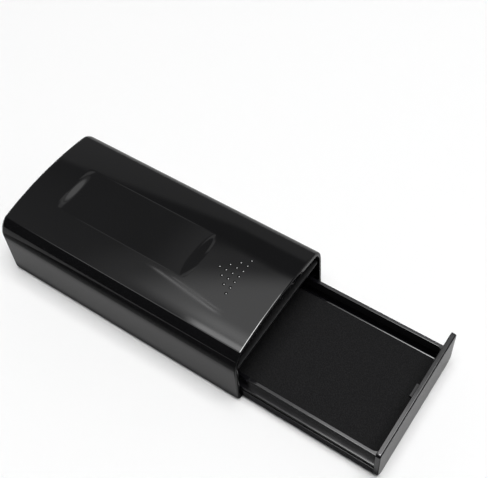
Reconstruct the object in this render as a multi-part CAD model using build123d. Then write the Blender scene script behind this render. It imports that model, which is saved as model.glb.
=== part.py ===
from build123d import *
import math
import os

# Magnetic key holder: a crowned black sleeve that clings to steel by the magnets under its
# roof, with an open drawer that slides out of one end.
# Millimetres. X runs along the drawer's travel with the mouth towards +X, Z is up, and the
# origin is the middle of the sleeve's underside. The drawer is built part way out.

# Sleeve, outside
sleeve_length = 112.0
sleeve_width = 58.0
crown_radius = 120.0
shoulder_radius = 9.0
shoulder_drop = 10.2
side_lean = 0.4
bottom_edge_radius = 2.0
crease_radius = 0.8
closed_end_radius = 2.0
rim_radius = 0.8

# Sleeve, walls
side_wall = 1.6
floor_wall = 1.4
end_wall = 2.0
roof_wall = 2.5
inner_corner_radius = 0.6

# Flat pad sunk into the crown, and the arrow of grip dots beside it
pad_depth = 0.5
pad_mouth_inset = 35.4
pad_closed_inset = 17.5
pad_ramp_length = 4.4
pad_ramp_radius = 12.0
dot_rows = 4
dot_row_inset = 17.3
dot_row_pitch = 2.83
dot_pitch = 2.74
dot_radius = 0.45
dot_round = 0.25
dot_height = 0.3
dot_root = 0.5

# Drawer
drawer_out = 54.8
drawer_more_travel = 26.0
shut_gap = 0.2
plate_thickness = 2.0
plate_side_inset = 1.5
plate_bottom = 0.45
plate_height = 19.05
plate_top_radius = 1.2
plate_bottom_radius = 4.0
plate_edge_radius = 0.6
tray_height = 10.35
tray_floor = 2.0
tray_wall = 1.5
tray_end_wall = 1.8
tray_step = 2.1
tray_corner_radius = 3.0
tray_floor_radius = 1.0
tray_edge_radius = 0.4
band_height = 4.1
groove_height = 1.1
rail_height = 1.2
rail_inset = 0.2
lug_width = 5.4
lug_depth = 0.9
lug_height = 1.4

# Drawer, running clearances
drawer_side_gap = 0.3
drawer_floor_gap = 0.25
drawer_rear_gap = 1.0
rib_gap = 0.3
lug_gap = 0.3

# Ribs along the sleeve's inner sides
rib_height = 1.4
rib_wall_gap = 0.35
rib_mouth_inset = 2.0
ledge_height = 1.4
ledge_bearing = 1.6

# Stop: a bump on the sleeve's floor that runs in a channel under the drawer
bump_length = 2.0
bump_width = 8.0
bump_height = 0.8
bump_inset = 2.0
channel_side_gap = 0.4
channel_depth = 0.9
channel_front_wall = 1.0
stop_gap = 0.2

# Magnets, their steel plate and the foam under it
magnet_count = 2
magnet_width = 20.0
magnet_thickness = 4.5
magnet_gap = 0.15
magnet_edge = 0.4
seat_roof = 2.5
fence_wall = 1.0
fence_depth = 3.0
steel_width = 22.0
steel_thickness = 1.5
steel_gap = 0.2
foam_thickness = 1.8
foam_inset = 1.0
foam_corner_radius = 1.5

# Deck that closes the magnets' chamber
deck_wall = 1.4
deck_gap = 0.25
deck_mouth_inset = 0.6
deck_rear_gap = 0.3
panel_inset = 3.0
steel_frame_wall = 1.0
steel_frame_rise = 1.0
tooth_width = 4.8
tooth_height = 0.9
tooth_gap = 0.3
slot_depth = 0.6
pocket_depth = 1.2

# Soft liner in the drawer
liner_thickness = 1.2
liner_gap = 0.4

# Places worked out from the sizes above
mouth_x = sleeve_length / 2
closed_x = -sleeve_length / 2
half_width = sleeve_width / 2
drawer_bottom = floor_wall + drawer_floor_gap
tray_top = drawer_bottom + tray_height
plate_top = plate_bottom + plate_height
deck_bottom = plate_top + lug_gap
deck_top = deck_bottom + deck_wall
steel_bottom = deck_top + foam_thickness
magnet_bottom = steel_bottom + steel_thickness
seat_z = magnet_bottom + magnet_thickness
pad_z = seat_z + seat_roof
crown_height = pad_z + pad_depth
shoulder_height = crown_height - shoulder_drop
roof_inner_height = crown_height - roof_wall
band_top = drawer_bottom + band_height
rail_bottom = band_top + groove_height
rail_top = rail_bottom + rail_height
rib_bottom = rail_top + rib_gap
plate_back_x = mouth_x + drawer_out
tray_length = sleeve_length - end_wall - drawer_rear_gap + shut_gap
tray_rear_x = plate_back_x - tray_length
pad_mouth_x = mouth_x - pad_mouth_inset
pad_closed_x = closed_x + pad_closed_inset
pad_length = pad_mouth_x - pad_closed_x
pad_middle_x = (pad_mouth_x + pad_closed_x) / 2
magnet_cell = (pad_length - (magnet_count + 1) * fence_wall) / magnet_count
magnet_length = magnet_cell - 2 * magnet_gap
magnet_pitch = magnet_cell + fence_wall
fence_width = magnet_width + 2 * magnet_gap + 2 * fence_wall
steel_length = magnet_pitch * (magnet_count - 1) + magnet_length
foam_length = steel_length - 2 * foam_inset
foam_width = steel_width - 2 * foam_inset
panel_front_x = mouth_x - panel_inset
panel_back_x = panel_front_x - deck_wall


def block(x_range, y_range, z_range):
    """A box between the given lowest and highest X, Y and Z."""
    size = [high - low for low, high in (x_range, y_range, z_range)]
    middle = [(high + low) / 2 for low, high in (x_range, y_range, z_range)]
    return Pos(*middle) * Box(*size)


def even(half):
    """The range from -half to half."""
    return (-half, half)


def side_at(height, inset=0.0):
    """Half the sleeve's width at a height below the shoulder, less an inset."""
    return half_width - inset - side_lean * height / shoulder_height


def crease_point(side_inset, roof_inset):
    """Where the shoulder's arc meets the crown's arc, as (y, z)."""
    shoulder_y = half_width - side_lean - shoulder_radius
    crown_z = crown_height - crown_radius
    shoulder = shoulder_radius - side_inset
    crown = crown_radius - roof_inset
    across = -shoulder_y
    down = crown_z - shoulder_height
    apart = math.hypot(across, down)
    along = (shoulder**2 - crown**2 + apart**2) / (2 * apart)
    off = math.sqrt(shoulder**2 - along**2)
    y = shoulder_y + (along * across - off * down) / apart
    z = shoulder_height + (along * down + off * across) / apart
    return y, z


def cross_section(side_inset=0.0, roof_inset=0.0, bottom=0.0, corner=0.0, crease=0.0):
    """The sleeve's outline seen along X, drawn in from the outside by the insets."""
    crease_y, crease_z = crease_point(side_inset, roof_inset)
    foot_y = half_width - side_lean - side_inset
    bottom_y = side_at(bottom, side_inset)
    shoulder_y = half_width - side_lean - shoulder_radius
    radius = shoulder_radius - side_inset
    middle = math.atan2(crease_z - shoulder_height, crease_y - shoulder_y) / 2
    arc_y = shoulder_y + radius * math.cos(middle)
    arc_z = shoulder_height + radius * math.sin(middle)
    apex = (0, crown_height - roof_inset)
    outline = [
        Line((-bottom_y, bottom), (bottom_y, bottom)),
        ThreePointArc((crease_y, crease_z), apex, (-crease_y, crease_z)),
    ]
    for side in (1, -1):
        outline.append(Line((side * bottom_y, bottom), (side * foot_y, shoulder_height)))
        shoulder_foot = (side * foot_y, shoulder_height)
        shoulder_top = (side * crease_y, crease_z)
        outline.append(ThreePointArc(shoulder_foot, (side * arc_y, arc_z), shoulder_top))
    face = make_face(outline)
    if corner:
        face = fillet(face.vertices().group_by(Axis.Y)[0], corner)
    if crease:
        creases = [v for v in face.vertices() if abs(v.Y - crease_z) < 0.001]
        face = fillet(creases, crease)
    return face


def along_x(face, start, end):
    """A face drawn across X, extruded between two X places."""
    return extrude(Plane.YZ.offset(start) * face, end - start)


def sleeve_body():
    """The sleeve's outside, rounded at its closed end and along its rim."""
    outline = cross_section(corner=bottom_edge_radius, crease=crease_radius)
    body = along_x(outline, closed_x, mouth_x)
    body = fillet(body.faces().sort_by(Axis.X)[0].edges(), closed_end_radius)
    return fillet(body.faces().sort_by(Axis.X)[-1].edges(), rim_radius)


def sleeve_hollow():
    """The space inside the sleeve, open at the mouth."""
    outline = cross_section(side_wall, roof_wall, floor_wall, corner=inner_corner_radius)
    return along_x(outline, closed_x + end_wall, mouth_x + 1)


def pad_recess():
    """What the flat pad takes off the crown: a flat with a shallow ramp at each end."""
    half_ramp = pad_ramp_length / 2
    points = [
        (pad_closed_x + half_ramp, pad_z),
        (pad_mouth_x - half_ramp, pad_z),
        (pad_mouth_x + 3 * half_ramp, pad_z + 2 * pad_depth),
        (pad_closed_x - 3 * half_ramp, pad_z + 2 * pad_depth),
    ]
    side_view = Plane.XZ * make_face(Polyline(*points, close=True))
    cutter = extrude(side_view, half_width, both=True)
    ends = [e for e in cutter.edges().filter_by(Axis.Y) if abs(e.center().Z - pad_z) < 0.001]
    return fillet(ends, pad_ramp_radius)


def dot_places():
    """The (x, y) places of the grip dots: rows of 1, 3, 5 and 7 that widen to the mouth."""
    for row in range(dot_rows):
        x = mouth_x - dot_row_inset - dot_row_pitch * (dot_rows - 1 - row)
        for step in range(-row, row + 1):
            yield x, step * dot_pitch


def grip_dot(x, y):
    """One small dome standing on the crown."""
    crown_z = crown_height - crown_radius + math.sqrt(crown_radius**2 - y**2)
    length = dot_height + dot_root
    dot = Pos(x, y, crown_z + dot_height - length / 2) * Cylinder(dot_radius, length)
    return fillet(dot.edges().sort_by(Axis.Z)[-1], dot_round)


def grip_dots():
    """The arrow of grip dots, which points away from the mouth."""
    return [grip_dot(x, y) for x, y in dot_places()]


def side_rib(bottom, height, inner_y):
    """A pair of ribs along the sleeve's inner sides, sunk halfway into its walls."""
    outer_y = side_at(bottom + height, side_wall / 2)
    x_range = (closed_x + end_wall, mouth_x - rib_mouth_inset)
    z_range = (bottom, bottom + height)
    near = block(x_range, (-outer_y, -inner_y), z_range)
    far = block(x_range, (inner_y, outer_y), z_range)
    return [near, far]


def tray_side():
    """Half the width of the tray's upper walls."""
    return band_side() - tray_step


def band_side():
    """Half the width of the tray's bottom band, which guides it in the sleeve."""
    return side_at(rail_top, side_wall) - drawer_side_gap


def deck_side():
    """Half the width of the deck where it lies on its ledges."""
    return side_at(deck_bottom, side_wall) - deck_gap


def sleeve_ribs():
    """Ribs that hold the drawer down on its floor, and ledges that carry the deck."""
    hold_down = side_rib(rib_bottom, rib_height, tray_side() + rib_wall_gap)
    ledges = side_rib(deck_bottom - ledge_height, ledge_height, deck_side() - ledge_bearing)
    return hold_down + ledges


def magnet_centres():
    """The X places of the magnets' middles."""
    first = pad_middle_x - magnet_pitch * (magnet_count - 1) / 2
    return [first + magnet_pitch * number for number in range(magnet_count)]


def magnet_fence():
    """The thick flat seat under the pad, with a fenced cell for each magnet."""
    top = pad_z - seat_roof / 2
    pad_range = (pad_closed_x, pad_mouth_x)
    fence = block(pad_range, even(fence_width / 2), (seat_z - fence_depth, top))
    for x in magnet_centres():
        cell_x = (x - magnet_cell / 2, x + magnet_cell / 2)
        cell_y = even(magnet_width / 2 + magnet_gap)
        fence -= block(cell_x, cell_y, (seat_z - fence_depth - 1, seat_z))
    return fence


def stop_bump():
    """The bump on the floor that stops the drawer."""
    x_range = (mouth_x - bump_inset - bump_length, mouth_x - bump_inset)
    top = floor_wall + bump_height
    return block(x_range, even(bump_width / 2), (floor_wall / 2, top))


def roof_slot():
    """The lead-in slot and the pocket for the deck's tooth, in the roof's inner face."""
    half = tooth_width / 2 + tooth_gap
    below = roof_inner_height - 1
    slot_top = roof_inner_height + slot_depth
    pocket_x = (panel_back_x - tooth_gap, panel_front_x + tooth_gap)
    slot = block((panel_front_x, mouth_x + 1), even(half), (below, slot_top))
    pocket = block(pocket_x, even(half), (below, roof_inner_height + pocket_depth))
    return slot + pocket


def sleeve_shell():
    """The moulded sleeve, closed at one end."""
    shell = sleeve_body() - sleeve_hollow()
    shell -= pad_recess()
    shell += grip_dots()
    shell += sleeve_ribs()
    shell += magnet_fence()
    shell += stop_bump()
    return shell - roof_slot()


def deck_space():
    """The space that the deck and its front panel fill, just inside the sleeve's walls."""
    outline = cross_section(side_wall + deck_gap, roof_wall + deck_gap, floor_wall)
    rear_x = closed_x + end_wall + deck_rear_gap
    return along_x(outline, rear_x, mouth_x - deck_mouth_inset)


def steel_frame():
    """The low frame on the deck that keeps the foam and the steel plate in place."""
    half_length = steel_length / 2 + steel_gap
    half_steel = steel_width / 2 + steel_gap
    top = steel_bottom + steel_frame_rise
    half_outer = half_length + steel_frame_wall
    outer_x = (pad_middle_x - half_outer, pad_middle_x + half_outer)
    inner_x = (pad_middle_x - half_length, pad_middle_x + half_length)
    frame = block(outer_x, even(half_steel + steel_frame_wall), (deck_top - deck_wall / 2, top))
    return frame - block(inner_x, even(half_steel), (deck_top, top + 1))


def magnet_deck():
    """The deck under the magnets, with the upright panel that closes their chamber."""
    space = deck_space()
    panel_x = (panel_back_x, panel_front_x)
    floor = space & block((closed_x, mouth_x), even(half_width), (deck_bottom, deck_top))
    panel = space & block(panel_x, even(half_width), (deck_bottom, crown_height))
    tooth_z = (roof_inner_height - deck_wall, roof_inner_height + tooth_height)
    tooth = block(panel_x, even(tooth_width / 2), tooth_z)
    return floor + panel + tooth + steel_frame()


def magnet(x):
    """One block magnet with eased edges, flat against its seat."""
    x_range = (x - magnet_length / 2, x + magnet_length / 2)
    body = block(x_range, even(magnet_width / 2), (magnet_bottom, seat_z))
    return chamfer(body.edges().filter_by(Axis.Z), magnet_edge)


def steel_plate():
    """The steel plate that closes the magnets' field on the inner side."""
    x_range = (pad_middle_x - steel_length / 2, pad_middle_x + steel_length / 2)
    body = block(x_range, even(steel_width / 2), (steel_bottom, magnet_bottom))
    return fillet(body.edges().filter_by(Axis.Z), magnet_edge)


def magnet_foam():
    """The foam pad that presses the steel plate and the magnets up to the roof."""
    x_range = (pad_middle_x - foam_length / 2, pad_middle_x + foam_length / 2)
    body = block(x_range, even(foam_width / 2), (deck_top, steel_bottom))
    return fillet(body.edges().filter_by(Axis.Z), foam_corner_radius)


def tray_outline():
    """The tray's solid outside behind its front plate: band, groove, rail and wall."""
    x_range = (tray_rear_x, plate_back_x)
    band = block(x_range, even(band_side()), (drawer_bottom, band_top))
    band = fillet(band.edges().filter_by(Axis.X).group_by(Axis.Z)[0], tray_edge_radius)
    wall = block(x_range, even(tray_side()), (drawer_bottom, tray_top))
    rail = block(x_range, even(band_side() - rail_inset), (rail_bottom, rail_top))
    return band + wall + rail


def tray_hollow():
    """The space in the tray, with rounded corners and floor edges."""
    x_range = (tray_rear_x + tray_end_wall, plate_back_x)
    floor_z = drawer_bottom + tray_floor
    hollow = block(x_range, even(tray_side() - tray_wall), (floor_z, tray_top + 1))
    hollow = fillet(hollow.edges().filter_by(Axis.Z), tray_corner_radius)
    return fillet(hollow.faces().sort_by(Axis.Z)[0].edges(), tray_floor_radius)


def front_plate():
    """The drawer's front plate, with rounded corners and a softened outer edge."""
    middle_z = plate_bottom + plate_height / 2
    width = sleeve_width - 2 * plate_side_inset
    outline = Pos(0, middle_z) * Rectangle(width, plate_height)
    plate = along_x(outline, plate_back_x, plate_back_x + plate_thickness)
    corners = plate.edges().filter_by(Axis.X)
    plate = fillet(corners.group_by(Axis.Z)[-1], plate_top_radius)
    low_corners = plate.edges().filter_by(Axis.X).group_by(Axis.Z)[0]
    plate = fillet(low_corners, plate_bottom_radius)
    return fillet(plate.faces().sort_by(Axis.X)[-1].edges(), plate_edge_radius)


def front_lug():
    """The small lug on the plate's inner face that slips under the deck's front edge."""
    x_range = (plate_back_x - lug_depth, plate_back_x + plate_thickness / 2)
    return block(x_range, even(lug_width / 2), (plate_top - lug_height, plate_top))


def stop_channel():
    """The channel under the tray where the sleeve's bump runs."""
    bump_rear = mouth_x - bump_inset - bump_length
    x_range = (bump_rear - drawer_more_travel - stop_gap, plate_back_x - channel_front_wall)
    half = bump_width / 2 + channel_side_gap
    return block(x_range, even(half), (drawer_bottom - 1, drawer_bottom + channel_depth))


def drawer_tray():
    """The moulded drawer: an open tray with its front plate."""
    tray = tray_outline() - tray_hollow()
    return tray + front_plate() + front_lug() - stop_channel()


def fob_liner():
    """The soft sheet on the tray's floor, kept clear of the rounded floor edges."""
    inset = tray_floor_radius + liner_gap
    x_range = (tray_rear_x + tray_end_wall + inset, plate_back_x - inset)
    half = tray_side() - tray_wall - inset
    floor_z = drawer_bottom + tray_floor
    sheet = block(x_range, even(half), (floor_z, floor_z + liner_thickness))
    return fillet(sheet.edges().filter_by(Axis.Z), tray_corner_radius - liner_gap)


def write_parts():
    """One STEP file for each piece."""
    rear_magnet_x, front_magnet_x = magnet_centres()
    parts = {
        "sleeve_shell": sleeve_shell(),
        "magnet_deck": magnet_deck(),
        "front_magnet": magnet(front_magnet_x),
        "rear_magnet": magnet(rear_magnet_x),
        "steel_plate": steel_plate(),
        "magnet_foam": magnet_foam(),
        "drawer_tray": drawer_tray(),
        "fob_liner": fob_liner(),
    }
    os.makedirs("parts", exist_ok=True)
    for name, shape in parts.items():
        export_step(shape, f"parts/{name}.step")


write_parts()
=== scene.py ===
import math

import bmesh
import bpy
from mathutils import Matrix, Vector, noise


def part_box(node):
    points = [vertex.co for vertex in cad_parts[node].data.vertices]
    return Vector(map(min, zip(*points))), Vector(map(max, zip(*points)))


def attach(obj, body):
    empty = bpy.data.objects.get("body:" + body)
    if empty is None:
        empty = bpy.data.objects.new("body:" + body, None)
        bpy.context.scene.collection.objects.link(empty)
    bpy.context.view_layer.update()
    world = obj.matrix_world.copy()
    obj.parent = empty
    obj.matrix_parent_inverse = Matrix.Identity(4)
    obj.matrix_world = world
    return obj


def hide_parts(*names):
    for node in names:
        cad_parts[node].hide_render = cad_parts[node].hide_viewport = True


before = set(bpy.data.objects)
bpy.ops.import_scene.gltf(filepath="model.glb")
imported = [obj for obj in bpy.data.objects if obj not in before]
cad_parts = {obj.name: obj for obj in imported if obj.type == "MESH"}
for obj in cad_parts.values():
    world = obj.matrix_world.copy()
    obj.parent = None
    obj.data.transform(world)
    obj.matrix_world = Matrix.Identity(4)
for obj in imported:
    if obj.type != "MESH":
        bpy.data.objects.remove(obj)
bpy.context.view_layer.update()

# Magnetic key holder: a polished black sleeve with a crowned roof, and a drawer that slides
# out of its mouth. X runs along the drawer's travel with the mouth towards +X, Y across and
# Z up, in metres. Sizes are written in millimetres and multiplied by MM.
MM = 0.001
TINY = 0.001 * MM
SAME_SPOT = TINY / 10

# Places read from the fixed frame
shell_low, shell_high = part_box("sleeve_shell")
tray_low, tray_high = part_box("drawer_tray")
deck_low, deck_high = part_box("magnet_deck")
foam_low, foam_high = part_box("magnet_foam")
liner_low, liner_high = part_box("fob_liner")
steel_low, steel_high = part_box("steel_plate")
front_magnet_low, front_magnet_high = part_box("front_magnet")
rear_magnet_low, rear_magnet_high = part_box("rear_magnet")
closed_x = shell_low.x
mouth_x = shell_high.x

# Sleeve, outside
half_width = 29.0 * MM
dot_height = 0.3 * MM
crown_height = shell_high.z - dot_height
crown_radius = 120.0 * MM
shoulder_radius = 9.0 * MM
shoulder_height = crown_height - 10.2 * MM
side_lean = 0.4 * MM
bottom_radius = 2.0 * MM
crease_radius = 1.6 * MM
closed_end_radius = 2.0 * MM
rim_radius = 0.8 * MM
rim_inner_radius = 0.3 * MM

# Sleeve, walls
side_wall = 1.6 * MM
floor_wall = 1.4 * MM
end_wall = 2.0 * MM
roof_wall = 2.5 * MM
inner_corner = 0.6 * MM
least_round = 0.05 * MM

# Flat pad in the crown, with a shallow ramp at each end
pad_depth = 0.5 * MM
pad_z = crown_height - pad_depth
pad_half = math.sqrt(2 * crown_radius * pad_depth - pad_depth**2)
pad_edge_width = 0.3 * MM
pad_mouth_x = mouth_x - 35.4 * MM
pad_closed_x = closed_x + 17.5 * MM
closed_ramp = 4.4 * MM
mouth_ramp = 5.6 * MM

# Arrow of grip dots on the crown, in rows that widen towards the mouth
dot_rows = 4
dot_row_x = mouth_x - 17.3 * MM
dot_row_pitch = 2.83 * MM
dot_pitch = 2.74 * MM
dot_radius = 0.62 * MM

# Drawer
plate_thickness = 2.0 * MM
plate_top_radius = 1.2 * MM
plate_bottom_radius = 4.0 * MM
plate_edge_radius = 0.6 * MM
plate_back_x = tray_high.x - plate_thickness
tray_rear_x = tray_low.x
tray_floor_z = liner_low.z
tray_bottom_z = tray_floor_z - 2.0 * MM
tray_top_z = tray_bottom_z + 10.35 * MM
tray_end_wall = 1.8 * MM
tray_half = 24.85 * MM
tray_wall = 1.5 * MM
tray_corner_radius = 3.0 * MM
tray_floor_radius = 1.0 * MM
tray_rim_round = 0.3 * MM
band_half = 26.95 * MM
band_top_z = tray_bottom_z + 4.1 * MM
band_round = 0.4 * MM
rail_half = band_half - 0.2 * MM
rail_bottom_z = band_top_z + 1.1 * MM
rail_top_z = rail_bottom_z + 1.2 * MM
rail_round = 0.25 * MM
lug_half = 2.7 * MM
lug_depth = 0.9 * MM
lug_height = 1.4 * MM
lug_round = 0.2 * MM

# Stop: a bump on the sleeve's floor that runs in a channel under the drawer
bump_x = (mouth_x - 4.0 * MM, mouth_x - 2.0 * MM)
bump_half = 4.0 * MM
bump_height = 0.8 * MM
bump_round = 0.25 * MM
channel_half = 4.4 * MM
channel_depth = 0.9 * MM
channel_x = (bump_x[0] - 26.2 * MM, plate_back_x - 1.0 * MM)

# Ribs along the sleeve's inner sides, as (top, bottom, inner Y)
rib_mouth_x = mouth_x - 2.0 * MM
ledge = (deck_low.z, deck_low.z - 1.4 * MM, 25.19 * MM)
hold_down = (rail_top_z + 1.7 * MM, rail_top_z + 0.3 * MM, tray_half + 0.35 * MM)
side_ribs = (ledge, hold_down)

# Magnets' seat under the roof
seat_z = front_magnet_high.z
fence_wall = 1.0 * MM
fence_depth = 3.0 * MM
magnet_gap = 0.15 * MM
magnet_half = front_magnet_high.y

# Deck under the magnets, its front panel and the tooth that clicks into the roof
deck_gap = 0.25 * MM
deck_top_z = foam_low.z
deck_half = deck_high.y
panel_x = (mouth_x - 4.4 * MM, mouth_x - 3.0 * MM)
steel_gap = 0.2 * MM
frame_wall = 1.0 * MM
frame_top_z = steel_low.z + 1.0 * MM
roof_inner_z = crown_height - roof_wall
tooth_half = 2.4 * MM
tooth_gap = 0.3 * MM
slot_depth = 0.6 * MM
pocket_depth = 1.2 * MM
panel_corner = 0.3 * MM
deck_corner = 0.5 * MM
deck_edge = 0.2 * MM
tooth_root = 1.4 * MM
tooth_edge = 0.25 * MM

# Foam sheets: the size of their facets, the waves of their uneven face, and how far out from
# the middle their bulging sides begin
foam_cell = 1.5 * MM
foam_layer = 0.6 * MM
foam_wave = 9 * MM
foam_unevenness = 0.05 * MM
foam_side_share = 0.99

# How far a cutting tool runs past a face, and how deep a joined piece is sunk in one
overshoot = 1.0 * MM
sunk = 0.5 * MM

# Steps of the round stretches
pad_steps = 14
crown_steps = 16
crease_steps = 6
shoulder_steps = 26
corner_steps = 8
end_steps = 9
ramp_steps = 14
rim_steps = 5
outline_steps = 4
tray_corner_steps = 10
tray_floor_steps = 6
plate_top_steps = 8
plate_bottom_steps = 14
plate_edge_steps = 6
deck_corner_steps = 4
frame_corner_steps = 5
foam_corner_steps = 8
foam_edge_steps = 4
eased_steps = 3
dot_steps_around = 24
dot_steps_up = 16

# Edges that turn more than the first stay crisp on the new pieces, and those that turn more
# than the second are eased on the frame's own meshes
sharp_angle = math.radians(32)
eased_angle = math.radians(40)

# The values that most of a noise pattern lies between
pattern_range = (0.3, 0.7)


def as_object(bm, name):
    """A new object at the origin that holds the bmesh."""
    mesh = bpy.data.meshes.new(name)
    bm.to_mesh(mesh)
    bm.free()
    made = bpy.data.objects.new(name, mesh)
    bpy.context.scene.collection.objects.link(made)
    return made


def add_box(bm, x_range, y_range, z_range):
    """Adds a box between the given lowest and highest X, Y and Z."""
    made = bmesh.ops.create_cube(bm, size=1)["verts"]
    size = [high - low for low, high in (x_range, y_range, z_range)]
    middle = [(high + low) / 2 for low, high in (x_range, y_range, z_range)]
    bmesh.ops.scale(bm, vec=size, verts=made)
    bmesh.ops.translate(bm, vec=middle, verts=made)
    return made


def even(half):
    """The range from -half to half."""
    return (-half, half)


def edges_along(bm, axis):
    """The straight edges that run along one axis: 0, 1 or 2 for X, Y or Z."""
    def runs(edge):
        step = edge.verts[1].co - edge.verts[0].co
        return all(abs(step[other]) < TINY for other in range(3) if other != axis)
    return [e for e in bm.edges if runs(e)]


def edges_at(bm, axis, place):
    """The edges that lie at one place on an axis."""
    return [e for e in bm.edges if all(abs(v.co[axis] - place) < TINY for v in e.verts)]


def rounded(bm, edges, radius, steps):
    """Rounds the given edges."""
    bmesh.ops.bevel(
        bm, geom=edges, offset=radius, offset_type="OFFSET", segments=steps,
        profile=0.5, affect="EDGES", material=-1,
    )


def merged(target, tool, operation):
    """Joins the tool to the target, or cuts it out, and removes the tool."""
    step = target.modifiers.new("merge", "BOOLEAN")
    step.operation = operation
    step.solver = "EXACT"
    step.object = tool
    depsgraph = bpy.context.evaluated_depsgraph_get()
    mesh = bpy.data.meshes.new_from_object(target.evaluated_get(depsgraph))
    mesh.name = target.name
    target.modifiers.clear()
    target.data = mesh
    bpy.data.objects.remove(tool)


def shaded(piece):
    """Smooth shading with crisp corners, led by the larger faces."""
    mesh = piece.data
    mesh.polygons.foreach_set("use_smooth", [True] * len(mesh.polygons))
    mesh.set_sharp_from_angle(angle=sharp_angle)
    weigh = piece.modifiers.new("normals", "WEIGHTED_NORMAL")
    weigh.mode = "FACE_AREA"
    weigh.weight = 50
    weigh.keep_sharp = True


def turned(bm, vert, centre_y, centre_z, angle, steps):
    """Draws an arc across X from a vertex, and returns the arc's last vertex."""
    made = bmesh.ops.spin(
        bm, geom=[vert], cent=(vert.co.x, centre_y, centre_z), axis=(1, 0, 0),
        angle=angle, steps=steps, use_duplicate=False,
    )
    return [v for v in made["geom_last"] if isinstance(v, bmesh.types.BMVert)][0]


def drawn_to(bm, vert, y, z):
    """Draws a straight edge from a vertex to a place across X, and returns its end."""
    end = bmesh.ops.extrude_vert_indiv(bm, verts=[vert])["verts"][0]
    end.co = (vert.co.x, y, z)
    return end


def crease_centre(side_inset, roof_inset, radius):
    """The middle of the small round between the shoulder's arc and the crown's arc."""
    shoulder_y = half_width - side_lean - shoulder_radius
    shoulder = shoulder_radius - side_inset - radius
    crown = crown_radius - roof_inset - radius
    down = crown_height - crown_radius - shoulder_height
    apart = math.hypot(shoulder_y, down)
    along = (shoulder**2 - crown**2 + apart**2) / (2 * apart)
    off = math.sqrt(shoulder**2 - along**2)
    y = shoulder_y - (along * shoulder_y + off * down) / apart
    z = shoulder_height + (along * down - off * shoulder_y) / apart
    return y, z


def half_section(bm, x, side=0.0, roof=0.0, floor=0.0, crease=0.0, corner=0.0, reach=None):
    """Half of the sleeve's outline across X, from the crown's top to the middle of the floor.

    Side, roof and floor draw it in from the outside, crease and corner are its small rounds,
    and reach is how far the side ribs stand out: 0 for not at all, 1 in full, or none drawn."""
    before = set(bm.edges)
    shoulder_y = half_width - side_lean - shoulder_radius
    crown_z = crown_height - crown_radius
    round_y, round_z = crease_centre(side, roof, crease)
    top_angle = math.atan2(round_z - crown_z, round_y)
    side_angle = math.atan2(round_z - shoulder_height, round_y - shoulder_y)
    pad_edges = (pad_half - pad_edge_width, pad_half, pad_half + pad_edge_width)
    stops = [math.pi / 2, *(math.acos(y / crown_radius) for y in pad_edges), top_angle]
    vert = bmesh.ops.create_vert(bm, co=(x, 0, crown_height - roof))["vert"][0]
    for start, end, steps in zip(stops, stops[1:], (pad_steps, 1, 1, crown_steps)):
        vert = turned(bm, vert, 0, crown_z, end - start, steps)
    vert = turned(bm, vert, round_y, round_z, side_angle - top_angle, crease_steps)
    vert = turned(bm, vert, shoulder_y, shoulder_height, -side_angle, shoulder_steps)

    def wall_y(z):
        return half_width - side - side_lean * z / shoulder_height

    if reach is not None:
        for top, bottom, inner_y in side_ribs:
            for z, share in ((top, 0), (top, reach), (bottom, reach), (bottom, 0)):
                vert = drawn_to(bm, vert, wall_y(z) + (inner_y - wall_y(z)) * share, z)
    corner_z = floor + corner
    vert = drawn_to(bm, vert, wall_y(corner_z), corner_z)
    vert = turned(bm, vert, wall_y(corner_z) - corner, corner_z, -math.pi / 2, corner_steps)
    drawn_to(bm, vert, 0, floor)
    return [e for e in bm.edges if e not in before]


def lofted(bm, sections, name):
    """A closed solid through a row of half sections, mirrored across the middle plane."""
    for first, second in zip(sections, sections[1:]):
        bmesh.ops.bridge_loops(bm, edges=first + second)
    for section in (sections[0], sections[-1]):
        ends = [v for v in {v for e in section for v in e.verts} if abs(v.co.y) < TINY]
        middle = bm.edges.new(ends)
        bmesh.ops.contextual_create(bm, geom=section + [middle])
    whole = bm.verts[:] + bm.edges[:] + bm.faces[:]
    bmesh.ops.mirror(bm, geom=whole, axis="Y", merge_dist=SAME_SPOT)
    bmesh.ops.remove_doubles(bm, verts=bm.verts[:], dist=SAME_SPOT)
    bmesh.ops.dissolve_degenerate(bm, edges=bm.edges[:], dist=SAME_SPOT)
    bmesh.ops.recalc_face_normals(bm, faces=bm.faces[:])
    return as_object(bm, name)


def sink_pad(section, ramp_x, ramp_length, taper, first, last):
    """Presses the crown of one section towards the flat pad, along the ramp at its end.

    The share pressed in goes from first to last over the ramp's length, and with a taper
    above 0 the ramp grows shorter towards its sides."""
    for v in {v for e in section for v in e.verts}:
        if v.co.z > shoulder_height and abs(v.co.y) < pad_half:
            length = ramp_length * (1 - (v.co.y / pad_half)**2)**taper
            part = min(max((v.co.x - ramp_x) / length + 0.5, 0), 1)
            share = first + (last - first) * part * part * (3 - 2 * part)
            v.co.z += (pad_z - v.co.z) * share


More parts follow.
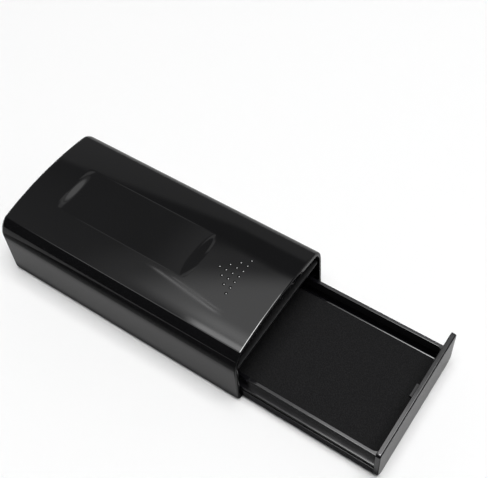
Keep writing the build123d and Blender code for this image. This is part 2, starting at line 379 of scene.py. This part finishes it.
def outer_sections(bm):
    """The outside of the sleeve as sections, from the closed end's face to the mouth."""
    sections = []
    for step in range(end_steps + 1):
        turn = math.pi / 2 * (1 - step / end_steps)
        inset = closed_end_radius * (1 - math.cos(turn))
        x = closed_x + closed_end_radius * (1 - math.sin(turn))
        crease = max(crease_radius - inset, least_round)
        corner = max(bottom_radius - inset, least_round)
        sections.append(half_section(bm, x, inset, inset, inset, crease, corner, 0))
    for ramp in ((pad_closed_x, closed_ramp, 0, 0, 1), (pad_mouth_x, mouth_ramp, 0.5, 1, 0)):
        for step in range(ramp_steps + 1):
            x = ramp[0] + ramp[1] * (step / ramp_steps - 0.5)
            section = half_section(bm, x, crease=crease_radius, corner=bottom_radius, reach=0)
            sink_pad(section, *ramp)
            sections.append(section)
    for step in range(rim_steps + 1):
        turn = math.pi / 2 * step / rim_steps
        inset = rim_radius * (1 - math.cos(turn))
        x = mouth_x - rim_radius * (1 - math.sin(turn))
        crease = max(crease_radius - inset, least_round)
        sections.append(half_section(bm, x, inset, inset, inset, crease, bottom_radius - inset, 0))
    return sections


def inner_sections(bm):
    """The inside of the sleeve as sections, from the mouth to the closed end's wall."""
    sections = []
    walls = (side_wall, roof_wall, floor_wall)
    for step in range(rim_steps + 1):
        turn = math.pi / 2 * step / rim_steps
        out = rim_inner_radius * (1 - math.sin(turn))
        x = mouth_x - rim_inner_radius * (1 - math.cos(turn))
        insets = [wall - out for wall in walls]
        sections.append(half_section(bm, x, *insets, inner_corner, inner_corner, 0))
    for x, reach in ((rib_mouth_x, 0), (rib_mouth_x, 1), (closed_x + end_wall, 1)):
        sections.append(half_section(bm, x, *walls, inner_corner, inner_corner, reach))
    return sections


def magnet_seat():
    """The thick flat seat under the pad, with a fenced cell for each magnet."""
    bm = bmesh.new()
    fence_half = magnet_half + magnet_gap + fence_wall
    z_range = (seat_z - fence_depth, pad_z - roof_wall / 2)
    add_box(bm, (pad_closed_x, pad_mouth_x), even(fence_half), z_range)
    seat = as_object(bm, "magnet_seat")
    cell_z = (seat_z - fence_depth - overshoot, seat_z)
    for low, high in ((rear_magnet_low, rear_magnet_high), (front_magnet_low, front_magnet_high)):
        bm = bmesh.new()
        x_range = (low.x - magnet_gap, high.x + magnet_gap)
        add_box(bm, x_range, even(magnet_half + magnet_gap), cell_z)
        merged(seat, as_object(bm, "magnet_cell"), "DIFFERENCE")
    return seat


def stop_bump():
    """The bump on the sleeve's floor that stops the drawer, with eased upper edges."""
    bm = bmesh.new()
    top = floor_wall + bump_height
    add_box(bm, bump_x, even(bump_half), (floor_wall / 2, top))
    rounded(bm, edges_at(bm, 2, top), bump_round, eased_steps)
    return as_object(bm, "stop_bump")


def tooth_slot(x_range, depth):
    """A slot for the deck's tooth in the roof's inner face."""
    bm = bmesh.new()
    z_range = (roof_inner_z - overshoot, roof_inner_z + depth)
    add_box(bm, x_range, even(tooth_half + tooth_gap), z_range)
    return as_object(bm, "tooth_slot")


def make_sleeve():
    """The moulded sleeve: its walls with their ribs, the magnets' seat, the stop and the slot."""
    bm = bmesh.new()
    sections = outer_sections(bm) + inner_sections(bm)
    sleeve = lofted(bm, sections, "sleeve_moulding")
    merged(sleeve, magnet_seat(), "UNION")
    merged(sleeve, stop_bump(), "UNION")
    merged(sleeve, tooth_slot((panel_x[1], mouth_x + overshoot), slot_depth), "DIFFERENCE")
    pocket_x = (panel_x[0] - tooth_gap, panel_x[1] + tooth_gap)
    merged(sleeve, tooth_slot(pocket_x, pocket_depth), "DIFFERENCE")
    shaded(sleeve)
    return sleeve


def make_dots():
    """The arrow of small domes on the crown, which points away from the mouth."""
    bm = bmesh.new()
    for row in range(dot_rows):
        x = dot_row_x - dot_row_pitch * (dot_rows - 1 - row)
        for place in range(-row, row + 1):
            y = place * dot_pitch
            roof_z = crown_height - crown_radius + math.sqrt(crown_radius**2 - y**2)
            dome = Matrix.Translation((x, y, roof_z))
            dome @= Matrix.Diagonal((dot_radius, dot_radius, dot_height, 1))
            bmesh.ops.create_uvsphere(bm, u_segments=dot_steps_around, v_segments=dot_steps_up,
                                      radius=1, matrix=dome)
    dots = as_object(bm, "grip_dots")
    shaded(dots)
    return dots


def rounded_outline(bm, x, start, corners):
    """Draws an open outline across X from a start through corners given as (y, z, radius)."""
    before = set(bm.edges)
    vert = bmesh.ops.create_vert(bm, co=(x, *start))["vert"][0]
    for here, after in zip(corners, corners[1:] + [None]):
        corner = Vector(here[:2])
        if after is None or here[2] == 0:
            vert = drawn_to(bm, vert, *corner)
            continue
        back = (Vector(vert.co.yz) - corner).normalized()
        ahead = (Vector(after[:2]) - corner).normalized()
        turn = math.pi - back.angle(ahead)
        tangent = here[2] * math.tan(turn / 2)
        vert = drawn_to(bm, vert, *(corner + back * tangent))
        centre = corner + (back + ahead).normalized() * math.hypot(tangent, here[2])
        side = -1 if back.x * ahead.y - back.y * ahead.x > 0 else 1
        vert = turned(bm, vert, *centre, side * turn, outline_steps)
    return [e for e in bm.edges if e not in before]


def tray_block():
    """The tray's solid outside: bottom band, groove, rail and wall."""
    bm = bmesh.new()
    corners = [
        (tray_half, tray_top_z, tray_rim_round),
        (tray_half, rail_top_z, 0),
        (rail_half, rail_top_z, rail_round),
        (rail_half, rail_bottom_z, rail_round),
        (tray_half, rail_bottom_z, 0),
        (tray_half, band_top_z, 0),
        (band_half, band_top_z, rail_round),
        (band_half, tray_bottom_z, band_round),
        (0, tray_bottom_z, 0),
    ]
    sections = [rounded_outline(bm, x, (0, tray_top_z), corners)
                for x in (tray_rear_x, plate_back_x)]
    return lofted(bm, sections, "drawer_moulding")


def tray_hollow():
    """The space in the tray, with rounded corners and floor edges."""
    bm = bmesh.new()
    x_range = (tray_rear_x + tray_end_wall, plate_back_x)
    add_box(bm, x_range, even(tray_half - tray_wall), (tray_floor_z, tray_top_z + overshoot))
    rounded(bm, edges_along(bm, 2), tray_corner_radius, tray_corner_steps)
    rounded(bm, edges_at(bm, 2, tray_floor_z), tray_floor_radius, tray_floor_steps)
    return as_object(bm, "tray_hollow")


def front_plate():
    """The drawer's front plate, with rounded corners and a softened outer edge."""
    bm = bmesh.new()
    plate_half = tray_high.y
    add_box(bm, (plate_back_x, tray_high.x), even(plate_half), (tray_low.z, tray_high.z))
    top_corners = [e for e in edges_along(bm, 0) if e.verts[0].co.z > tray_top_z]
    rounded(bm, top_corners, plate_top_radius, plate_top_steps)
    low_corners = [e for e in edges_along(bm, 0) if e.verts[0].co.z < tray_low.z + TINY]
    rounded(bm, [e for e in low_corners if abs(e.verts[0].co.y) > plate_half - TINY],
            plate_bottom_radius, plate_bottom_steps)
    rounded(bm, edges_at(bm, 0, tray_high.x), plate_edge_radius, plate_edge_steps)
    rounded(bm, edges_at(bm, 0, plate_back_x), tray_rim_round, eased_steps)
    return as_object(bm, "front_plate")


def front_lug():
    """The small lug on the plate's inner face, at its top edge."""
    bm = bmesh.new()
    x_range = (plate_back_x - lug_depth, plate_back_x + plate_thickness / 2)
    add_box(bm, x_range, even(lug_half), (tray_high.z - lug_height, tray_high.z - TINY))
    rounded(bm, edges_at(bm, 0, x_range[0]), lug_round, eased_steps)
    return as_object(bm, "front_lug")


def stop_channel():
    """The channel under the tray where the sleeve's bump runs."""
    bm = bmesh.new()
    z_range = (tray_bottom_z - overshoot, tray_bottom_z + channel_depth)
    add_box(bm, channel_x, even(channel_half), z_range)
    return as_object(bm, "stop_channel")


def make_drawer():
    """The moulded drawer: an open tray with its rails and its front plate."""
    drawer = tray_block()
    merged(drawer, tray_hollow(), "DIFFERENCE")
    bm = bmesh.new()
    bm.from_mesh(drawer.data)
    inner = tray_half - tray_wall + TINY
    rim = [e for e in edges_at(bm, 2, tray_top_z)
           if all(abs(v.co.y) < inner and v.co.x > tray_rear_x + TINY for v in e.verts)
           and len(e.link_faces) == 2 and e.calc_face_angle() > sharp_angle]
    rounded(bm, rim, tray_rim_round, eased_steps)
    bm.to_mesh(drawer.data)
    bm.free()
    merged(drawer, front_plate(), "UNION")
    merged(drawer, front_lug(), "UNION")
    merged(drawer, stop_channel(), "DIFFERENCE")
    shaded(drawer)
    return drawer


def deck_panel():
    """The upright panel that closes the magnets' chamber, drawn like the sleeve's inside."""
    bm = bmesh.new()
    insets = (side_wall + deck_gap, roof_wall + deck_gap, deck_low.z)
    sections = [half_section(bm, x, *insets, least_round, panel_corner) for x in panel_x]
    return lofted(bm, sections, "deck_panel")


def steel_frame():
    """The low frame on the deck that keeps the foam and the steel plate in place."""
    bm = bmesh.new()
    out = steel_gap + frame_wall
    x_range = (steel_low.x - out, steel_high.x + out)
    add_box(bm, x_range, even(steel_high.y + out), (deck_top_z - sunk, frame_top_z))
    rounded(bm, edges_along(bm, 2), frame_wall, frame_corner_steps)
    ring = as_object(bm, "steel_frame")
    bm = bmesh.new()
    x_range = (steel_low.x - steel_gap, steel_high.x + steel_gap)
    add_box(bm, x_range, even(steel_high.y + steel_gap), (deck_top_z, frame_top_z + overshoot))
    merged(ring, as_object(bm, "frame_hollow"), "DIFFERENCE")
    return ring


def make_deck():
    """The deck under the magnets, with its front panel, its tooth and the steel's frame."""
    bm = bmesh.new()
    add_box(bm, (deck_low.x, deck_high.x), even(deck_half), (deck_low.z, deck_top_z))
    rounded(bm, edges_along(bm, 2), deck_corner, deck_corner_steps)
    face_edges = edges_at(bm, 2, deck_top_z) + edges_at(bm, 2, deck_low.z)
    rounded(bm, face_edges, deck_edge, eased_steps)
    deck = as_object(bm, "deck_moulding")
    merged(deck, deck_panel(), "UNION")
    bm = bmesh.new()
    add_box(bm, panel_x, even(tooth_half), (roof_inner_z - tooth_root, deck_high.z))
    rounded(bm, edges_at(bm, 2, deck_high.z), tooth_edge, eased_steps)
    merged(deck, as_object(bm, "deck_tooth"), "UNION")
    merged(deck, steel_frame(), "UNION")
    shaded(deck)
    return deck


def foam_sheet(name, low, high, corner_radius, edge_round, bulge):
    """A die-cut foam sheet: soft upper edges, sides that bulge, and a faintly uneven face."""
    bm = bmesh.new()
    add_box(bm, (low.x, high.x), (low.y, high.y), (low.z, high.z))
    rounded(bm, edges_along(bm, 2), corner_radius, foam_corner_steps)
    rounded(bm, edges_at(bm, 2, high.z), edge_round, foam_edge_steps)
    for axis, cell in enumerate((foam_cell, foam_cell, foam_layer)):
        normal = [1 if axis == other else 0 for other in range(3)]
        steps = max(int((high[axis] - low[axis]) / cell), 2)
        for step in range(1, steps):
            place = [low[other] + (high[other] - low[other]) * step / steps for other in range(3)]
            whole = bm.verts[:] + bm.edges[:] + bm.faces[:]
            bmesh.ops.bisect_plane(bm, geom=whole, dist=SAME_SPOT,
                                   plane_co=place, plane_no=normal)
    middle = (low + high) / 2
    for v in bm.verts:
        up = (v.co.z - low.z) / (high.z - low.z)
        swell = 4 * up * (1 - up) * bulge
        reach_x = abs(v.co.x - middle.x) / (high.x - middle.x)
        reach_y = abs(v.co.y - middle.y) / (high.y - middle.y)
        v.co.x += math.copysign(swell, v.co.x - middle.x) * (reach_x > foam_side_share)
        v.co.y += math.copysign(swell, v.co.y - middle.y) * (reach_y > foam_side_share)
        v.co.z += noise.noise(v.co / foam_wave) * foam_unevenness * up
    sheet = as_object(bm, name)
    shaded(sheet)
    return sheet


def new_material(name, colour, roughness, metallic=0.0, specular=0.5):
    """A material with its plain values on the shader's own sockets."""
    material = bpy.data.materials.new(name)
    material.use_nodes = True
    shader = material.node_tree.nodes["Principled BSDF"]
    shader.inputs["Base Color"].default_value = (*colour, 1)
    shader.inputs["Roughness"].default_value = roughness
    shader.inputs["Metallic"].default_value = metallic
    shader.inputs["Specular IOR Level"].default_value = specular
    shader.inputs["IOR"].default_value = 1.5
    return material


def speckle(material, scale, detail=2.0, stretch=(1, 1, 1)):
    """A noise pattern on object coordinates, and returns its value socket."""
    tree = material.node_tree
    places = tree.nodes.new("ShaderNodeTexCoord")
    mapping = tree.nodes.new("ShaderNodeMapping")
    mapping.inputs["Scale"].default_value = stretch
    pattern = tree.nodes.new("ShaderNodeTexNoise")
    pattern.inputs["Scale"].default_value = scale
    pattern.inputs["Detail"].default_value = detail
    tree.links.new(places.outputs["Object"], mapping.inputs["Vector"])
    tree.links.new(mapping.outputs["Vector"], pattern.inputs["Vector"])
    return pattern.outputs["Fac"]


def vary_roughness(material, value, low, high):
    """Spreads a pattern's value over a range of roughness."""
    tree = material.node_tree
    spread = tree.nodes.new("ShaderNodeMapRange")
    spread.inputs["From Min"].default_value = pattern_range[0]
    spread.inputs["From Max"].default_value = pattern_range[1]
    spread.inputs["To Min"].default_value = low
    spread.inputs["To Max"].default_value = high
    tree.links.new(value, spread.inputs["Value"])
    tree.links.new(spread.outputs["Result"], tree.nodes["Principled BSDF"].inputs["Roughness"])


def vary_colour(material, value, dark, light):
    """Mixes two near colours by a pattern's value."""
    tree = material.node_tree
    ramp = tree.nodes.new("ShaderNodeValToRGB")
    for stop, place, colour in zip(ramp.color_ramp.elements, pattern_range, (dark, light)):
        stop.position = place
        stop.color = (*colour, 1)
    tree.links.new(value, ramp.inputs["Fac"])
    tree.links.new(ramp.outputs["Color"], tree.nodes["Principled BSDF"].inputs["Base Color"])


def add_bump(material, value, height):
    """Raises the surface by a pattern's value, on top of any bump already there."""
    tree = material.node_tree
    normal = tree.nodes["Principled BSDF"].inputs["Normal"]
    bump = tree.nodes.new("ShaderNodeBump")
    bump.inputs["Distance"].default_value = height
    bump.inputs["Strength"].default_value = 1.0
    tree.links.new(value, bump.inputs["Height"])
    if normal.is_linked:
        tree.links.new(normal.links[0].from_socket, bump.inputs["Normal"])
    tree.links.new(bump.outputs["Normal"], normal)


def polished_black():
    """Polished black ABS of the sleeve: faint flow waves and a very fine orange peel."""
    material = new_material("polished_black_abs", (0.003, 0.003, 0.0035), 0.06)
    vary_colour(material, speckle(material, 40),
                (0.0027, 0.0027, 0.0031), (0.0033, 0.0033, 0.0038))
    vary_roughness(material, speckle(material, 120, 4), 0.045, 0.075)
    add_bump(material, speckle(material, 1500, 2), 0.0004 * MM)
    return material


def drawer_black():
    """Glossy black ABS of the drawer, a little less polished than the sleeve."""
    material = new_material("glossy_black_abs", (0.004, 0.004, 0.005), 0.12)
    vary_colour(material, speckle(material, 60),
                (0.0036, 0.0036, 0.0046), (0.0044, 0.0044, 0.0054))
    vary_roughness(material, speckle(material, 200, 4), 0.09, 0.15)
    add_bump(material, speckle(material, 1800, 2), 0.0008 * MM)
    return material


def inner_black():
    """Fine matt black ABS of the deck, with a spark-eroded grain."""
    material = new_material("matt_black_abs", (0.006, 0.006, 0.0065), 0.5, specular=0.25)
    vary_colour(material, speckle(material, 300), (0.005, 0.005, 0.0055), (0.007, 0.007, 0.0075))
    vary_roughness(material, speckle(material, 700, 3), 0.42, 0.58)
    add_bump(material, speckle(material, 4000, 3), 0.01 * MM)
    return material


def nickel():
    """Nickel plating on the magnets, with soft cloudy patches."""
    material = new_material("nickel_plating", (0.62, 0.6, 0.56), 0.2, metallic=1.0)
    vary_colour(material, speckle(material, 150, 3), (0.58, 0.56, 0.52), (0.66, 0.64, 0.6))
    vary_roughness(material, speckle(material, 400, 4), 0.14, 0.26)
    add_bump(material, speckle(material, 2500, 3), 0.002 * MM)
    return material


def rolled_steel():
    """Rolled steel of the backing plate, with fine lines along its length."""
    material = new_material("rolled_steel", (0.5, 0.5, 0.5), 0.35, metallic=1.0)
    lines = speckle(material, 900, 4, stretch=(0.03, 1, 1))
    vary_colour(material, lines, (0.45, 0.45, 0.45), (0.55, 0.55, 0.55))
    vary_roughness(material, lines, 0.28, 0.42)
    add_bump(material, lines, 0.004 * MM)
    return material


def black_foam():
    """Fine-celled black foam: small open pits over the face and the cut edges, with painted shade
    in the pits.
    """
    material = new_material("black_foam", (0.01, 0.01, 0.0105), 0.95, specular=0.08)
    tree = material.node_tree
    places = tree.nodes.new("ShaderNodeTexCoord")
    cells = tree.nodes.new("ShaderNodeTexVoronoi")
    cells.inputs["Scale"].default_value = 2600
    tree.links.new(places.outputs["Object"], cells.inputs["Vector"])
    pit_depth_and_shade = cells.outputs["Distance"]
    # The pits' bottoms are painted darker: painted shade in the pits
    vary_colour(material, pit_depth_and_shade, (0.006, 0.006, 0.0065), (0.013, 0.013, 0.0135))
    add_bump(material, pit_depth_and_shade, 0.08 * MM)
    add_bump(material, speckle(material, 500, 3), 0.05 * MM)
    return material


def wear(piece, material, body, replaced=None):
    """Gives a new piece its material and its body, and hides the node it replaces."""
    piece.data.materials.clear()
    piece.data.materials.append(material)
    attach(piece, body)
    if replaced:
        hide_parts(replaced)


def paint_node(name, material, edge):
    """Gives a node of the frame its material, and eases its edges."""
    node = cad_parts[name]
    node.data.materials.clear()
    node.data.materials.append(material)
    weld = node.modifiers.new("weld", "WELD")
    weld.merge_threshold = TINY
    ease = node.modifiers.new("ease", "BEVEL")
    ease.width = edge
    ease.segments = eased_steps
    ease.limit_method = "ANGLE"
    ease.angle_limit = eased_angle
    weigh = node.modifiers.new("normals", "WEIGHTED_NORMAL")
    weigh.keep_sharp = True


polished = polished_black()
wear(make_sleeve(), polished, "sleeve", "sleeve_shell")
wear(make_dots(), polished, "sleeve")
wear(make_deck(), inner_black(), "sleeve", "magnet_deck")
wear(make_drawer(), drawer_black(), "drawer", "drawer_tray")
foam = black_foam()
liner = foam_sheet("fob_liner_foam", liner_low, liner_high,
                   corner_radius=2.6 * MM, edge_round=0.35 * MM, bulge=0.0)
wear(liner, foam, "drawer", "fob_liner")
press = foam_sheet("magnet_foam_pad", foam_low, foam_high,
                   corner_radius=1.5 * MM, edge_round=0.3 * MM, bulge=0.4 * MM)
wear(press, foam, "sleeve", "magnet_foam")
plating = nickel()
paint_node("front_magnet", plating, edge=0.2 * MM)
paint_node("rear_magnet", plating, edge=0.2 * MM)
paint_node("steel_plate", rolled_steel(), edge=0.15 * MM)

# Stage: a plain white floor, and a dark sheet over it that only reflections see: painted shade for
# the shadowed floor beside the case and for the dim room beyond. The sheet's stops are a place in
# Y and how dark it is there, and past its end in X it is at most half dark.
floor_half = 3.0
shade_height = 0.1 * MM
shade_span = 0.1
shade_end_x = (72.0 * MM, 90.0 * MM)
shade_end_loss = 0.5
# The darkest stops, close beside the case, are painted shadow seen in reflections
shade_stops = ((-26.0 * MM, 0.5), (-26.8 * MM, 0.92), (-29.3 * MM, 0.9), (-31.0 * MM, 0.52),
               (-36.6 * MM, 0.52), (-38.8 * MM, 0.83), (-50.0 * MM, 0.85), (-73.0 * MM, 0.95))


def ramped(tree, value, start, end, high=1.0):
    """A smooth rise from 0 to high while the value goes from start to end."""
    rise = tree.nodes.new("ShaderNodeMapRange")
    rise.interpolation_type = "SMOOTHSTEP"
    rise.inputs["From Min"].default_value = start
    rise.inputs["From Max"].default_value = end
    rise.inputs["To Max"].default_value = high
    tree.links.new(value, rise.inputs["Value"])
    return rise.outputs["Result"]


def joined(tree, operation, first, second):
    """One sum of two values, each a socket or a plain number."""
    step = tree.nodes.new("ShaderNodeMath")
    step.operation = operation
    for socket, value in zip(step.inputs, (first, second)):
        if isinstance(value, float):
            socket.default_value = value
        else:
            tree.links.new(value, socket)
    return step.outputs["Value"]


def stepped(tree, value, stops):
    """A grey level for each value from 0 to 1, drawn through stops of (value, level)."""
    ramp = tree.nodes.new("ShaderNodeValToRGB")
    ramp.color_ramp.elements.remove(ramp.color_ramp.elements[1])
    for number, (place, level) in enumerate(stops):
        stop = ramp.color_ramp.elements[0] if number == 0 else ramp.color_ramp.elements.new(0.5)
        stop.position = place
        stop.color = (level, level, level, 1)
    tree.links.new(value, ramp.inputs["Fac"])
    return ramp.outputs["Color"]


def make_floor():
    """The plain white floor."""
    bm = bmesh.new()
    bmesh.ops.create_grid(bm, x_segments=1, y_segments=1, size=floor_half)
    floor = as_object(bm, "floor")
    white = new_material("floor_white", (0.9, 0.9, 0.9), 1.0, specular=0.0)
    floor.data.materials.append(white)


def make_shade():
    """A dark sheet just over the floor, seen in reflections only: painted shade that darkens
    the floor beside the case, and stands for the dim room beyond the white ground on the
    camera's side."""
    bm = bmesh.new()
    bmesh.ops.create_grid(bm, x_segments=1, y_segments=1, size=floor_half)
    bmesh.ops.translate(bm, vec=(0, 0, shade_height), verts=bm.verts[:])
    sheet = as_object(bm, "shade_sheet")
    material = bpy.data.materials.new("shade_black")
    material.use_nodes = True
    tree = material.node_tree
    tree.nodes.clear()
    places = tree.nodes.new("ShaderNodeTexCoord")
    split = tree.nodes.new("ShaderNodeSeparateXYZ")
    clear = tree.nodes.new("ShaderNodeBsdfTransparent")
    black = tree.nodes.new("ShaderNodeBsdfDiffuse")
    black.inputs["Color"].default_value = (0, 0, 0, 1)
    mix = tree.nodes.new("ShaderNodeMixShader")
    output = tree.nodes.new("ShaderNodeOutputMaterial")
    tree.links.new(places.outputs["Object"], split.inputs["Vector"])
    out = joined(tree, "DIVIDE", split.outputs["Y"], -shade_span)
    share = stepped(tree, out, [(y / -shade_span, level) for y, level in shade_stops])
    left = joined(tree, "MULTIPLY", split.outputs["X"], -1.0)
    loss = ramped(tree, left, *shade_end_x, shade_end_loss)
    share = joined(tree, "MINIMUM", share, joined(tree, "SUBTRACT", 1.0, loss))
    tree.links.new(share, mix.inputs["Fac"])
    tree.links.new(clear.outputs["BSDF"], mix.inputs[1])
    tree.links.new(black.outputs["BSDF"], mix.inputs[2])
    tree.links.new(mix.outputs["Shader"], output.inputs["Surface"])
    sheet.data.materials.append(material)
    sheet.visible_camera = False
    sheet.visible_diffuse = False
    sheet.visible_shadow = False
    sheet.visible_transmission = False


# Light: soft panels overhead, each a step above the one before it, which hides it where the
# two cross in a reflection
panel_height = 2.5
panel_step = 0.01


def soft_panel(name, x_range, y_range, level, rim, turn=0.0, lights=False):
    """A level soft panel overhead, with its reach in X and Y given in metres.

    Its light fades out over the rim, level is its brightness where white is 1, and turn is
    in degrees about its middle. One that lights nothing is a card seen in reflections only."""
    lamp = bpy.data.lights.new(name, "AREA")
    lamp.shape = "RECTANGLE"
    lamp.size = x_range[1] - x_range[0]
    lamp.size_y = y_range[1] - y_range[0]
    lamp.energy = level * math.pi * lamp.size * lamp.size_y
    lamp.use_nodes = True
    tree = lamp.node_tree
    emission = tree.nodes["Emission"]
    spot = tree.nodes.new("ShaderNodeNewGeometry")
    split = tree.nodes.new("ShaderNodeSeparateXYZ")
    tree.links.new(spot.outputs["Parametric"], split.inputs["Vector"])
    shares = []
    for output, size in (("X", lamp.size), ("Y", lamp.size_y)):
        inward = joined(tree, "PINGPONG", split.outputs[output], 0.5)
        shares.append(ramped(tree, inward, 0.0, rim / size))
    tree.links.new(joined(tree, "MULTIPLY", *shares), emission.inputs["Strength"])
    panel = bpy.data.objects.new(name, lamp)
    height = panel_height + panel_step * len(bpy.data.lights)
    panel.location = (sum(x_range) / 2, sum(y_range) / 2, height)
    panel.rotation_euler.z = math.radians(turn)
    panel.visible_diffuse = lights
    bpy.context.scene.collection.objects.link(panel)


# Surround: its level by how far a direction leans from straight up, where a lean of 1 is 45
# degrees. The stops are a lean towards Y and the level there. Beyond a slanted edge, which is
# given by its normal and by where it fades in, and beyond a far edge it is lighter.
surround_stops = ((-1.0, 0.05), (-0.6, 0.06), (-0.2, 0.1), (-0.05, 0.28), (0.0, 0.28),
                  (0.21, 0.18), (0.38, 0.11), (0.49, 0.07), (0.62, 0.12), (0.8, 0.14))
slant_normal = (-0.859, 0.512)
slant_fade = (1.03, 1.12)
slant_start = (0.66, 0.8)
far_fade = (1.05, 1.13)
far_level = 0.2
least_up = 0.02

# Camera, fitted to the photo
camera_lens = 66.76
camera_sensor = 36.0
camera_target = Vector((25.55, 21.16, 20.0)) * MM
camera_place = Vector((153.46, -135.34, 304.74)) * MM
camera_lean = math.radians(-6.095)


def make_surround():
    """The dim surround, by how far a direction leans from straight up towards X and Y.

    It is darkest on the camera's side and at a lean of 26 degrees towards the far side, and
    lighter beyond a slanted edge further out on the far side."""
    world = bpy.data.worlds.new("surround")
    bpy.context.scene.world = world
    world.use_nodes = True
    tree = world.node_tree
    places = tree.nodes.new("ShaderNodeTexCoord")
    split = tree.nodes.new("ShaderNodeSeparateXYZ")
    tree.links.new(places.outputs["Generated"], split.inputs["Vector"])
    up = joined(tree, "MAXIMUM", split.outputs["Z"], least_up)
    lean_x = joined(tree, "DIVIDE", split.outputs["X"], up)
    lean_y = joined(tree, "DIVIDE", split.outputs["Y"], up)
    half = joined(tree, "ADD", joined(tree, "MULTIPLY", lean_y, 0.5), 0.5)
    near = stepped(tree, half, [((lean + 1) / 2, level) for lean, level in surround_stops])
    slant = joined(tree, "ADD", joined(tree, "MULTIPLY", lean_x, slant_normal[0]),
                   joined(tree, "MULTIPLY", lean_y, slant_normal[1]))
    slant = joined(tree, "MULTIPLY", ramped(tree, slant, *slant_fade),
                   ramped(tree, lean_y, *slant_start))
    far = joined(tree, "MAXIMUM", slant, ramped(tree, lean_y, *far_fade))
    total = joined(tree, "ADD", near, joined(tree, "MULTIPLY", far, far_level))
    tree.links.new(total, tree.nodes["Background"].inputs["Strength"])
    tree.nodes["Background"].inputs["Color"].default_value = (1, 1, 1, 1)


def make_camera():
    """The camera at the photo's place, height and lean."""
    lens = bpy.data.cameras.new("camera")
    lens.lens = camera_lens
    lens.sensor_width = camera_sensor
    camera = bpy.data.objects.new("camera", lens)
    ahead = (camera_target - camera_place).to_track_quat("-Z", "Y").to_matrix().to_4x4()
    lean = Matrix.Rotation(camera_lean, 4, "Z")
    camera.matrix_world = Matrix.Translation(camera_place) @ ahead @ lean
    bpy.context.scene.collection.objects.link(camera)
    bpy.context.scene.camera = camera


make_floor()
make_shade()
soft_panel("glint_card", (-0.35, 0.75), (-0.6, 0.7), level=15.0, rim=0.2)
soft_panel("rim_card", (-0.1, 1.3), (0.75, 1.34), level=7.0, rim=0.08)
soft_panel("main_panel", (-0.5, 1.3), (-0.9, 0.85), level=8.0, rim=0.1, lights=True)
soft_panel("far_edge_card", (-1.8, -1.3), (1.42, 1.85), level=0.45, rim=0.08)
soft_panel("near_edge_card", (-1.66, -1.17), (0.72, 1.02), level=0.38, rim=0.06)
soft_panel("wide_card", (-1.19, 1.7), (-0.3, 1.85), level=1.05, rim=0.25, turn=-9)
soft_panel("dim_card", (-1.45, 1.4), (-0.6, 1.9), level=0.22, rim=0.2, turn=-5)
soft_panel("strip_card", (-1.02, 0.3), (-0.2, 0.05), level=3.5, rim=0.06)
soft_panel("band_card", (-1.1, 0.3), (-0.05, 0.35), level=1.0, rim=0.2)
soft_panel("streak_card", (-1.285, -0.905), (0.4, 0.46), level=2.2, rim=0.03, turn=-30)
soft_panel("second_streak_card", (-1.2, -0.92), (0.46, 0.5), level=1.5, rim=0.02, turn=-30)
soft_panel("front_card", (-0.58, -0.15), (0.84, 1.22), level=3.2, rim=0.1)
soft_panel("near_card", (-1.15, 2.2), (-1.6, -0.4), level=2.0, rim=0.2)
soft_panel("side_card", (-2.0, -0.85), (-1.6, -0.4), level=2.0, rim=0.4)
make_surround()
make_camera()

bpy.context.scene.view_settings.view_transform = "Standard"
